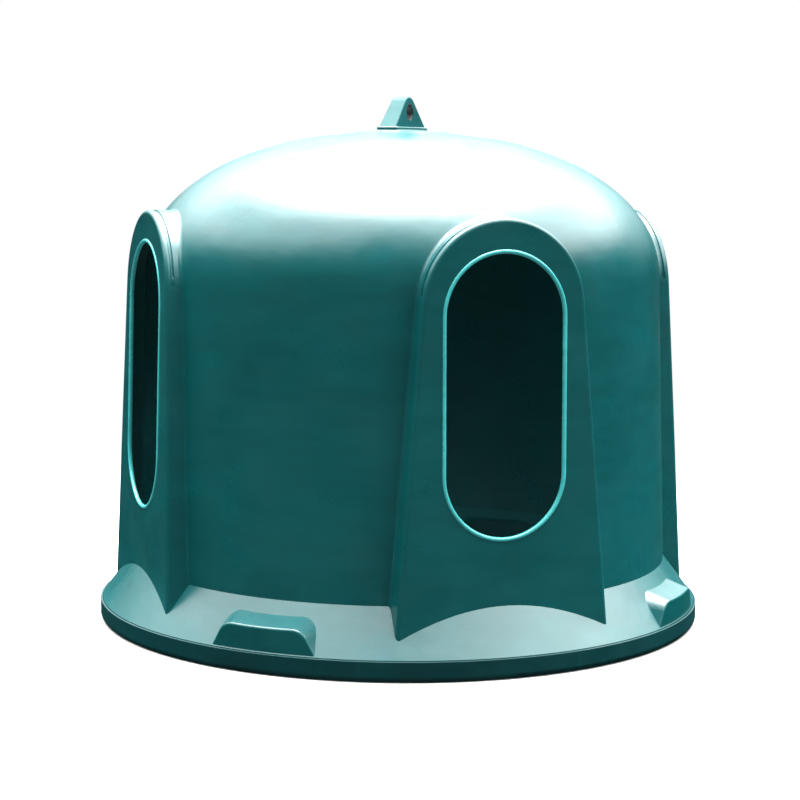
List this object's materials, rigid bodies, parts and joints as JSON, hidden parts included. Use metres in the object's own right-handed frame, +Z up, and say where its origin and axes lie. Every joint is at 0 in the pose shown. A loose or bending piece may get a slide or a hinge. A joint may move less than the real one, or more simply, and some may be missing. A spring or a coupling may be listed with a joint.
{
  "type": "hay feeder bell",
  "caption": "Round bottomless plastic bell set down over a round bale, with oval feeding openings in raised arched portals, a flared skirt with pads, a base rim and a lifting lug on its dome.",
  "frame": {"origin": "on the ground, at the centre of the base rim", "axes": "+Z up; one portal faces each of -Y (front), +X (right), +Y (back) and -X (left); the lug's hole runs along the diagonal between +X and -Y"},
  "size_m": [1.9998, 1.9998, 1.718],
  "materials": {
    "shell_plastic": "satin moulded polyethylene",
    "rim_plastic": "satin, darker",
    "trim_plastic": "satin extruded edging",
    "zinc_steel": "zinc plated"
  },
  "bodies": {
    "root": {"bell_shell": "shell_plastic", "base_rim": "rim_plastic", "rim_screws": "zinc_steel", "opening_trim_front": "trim_plastic", "opening_trim_right": "trim_plastic", "opening_trim_back": "trim_plastic", "opening_trim_left": "trim_plastic", "lifting_lug": "shell_plastic", "lug_sleeve": "zinc_steel", "lug_studs": "zinc_steel"}
  },
  "joints": []
}
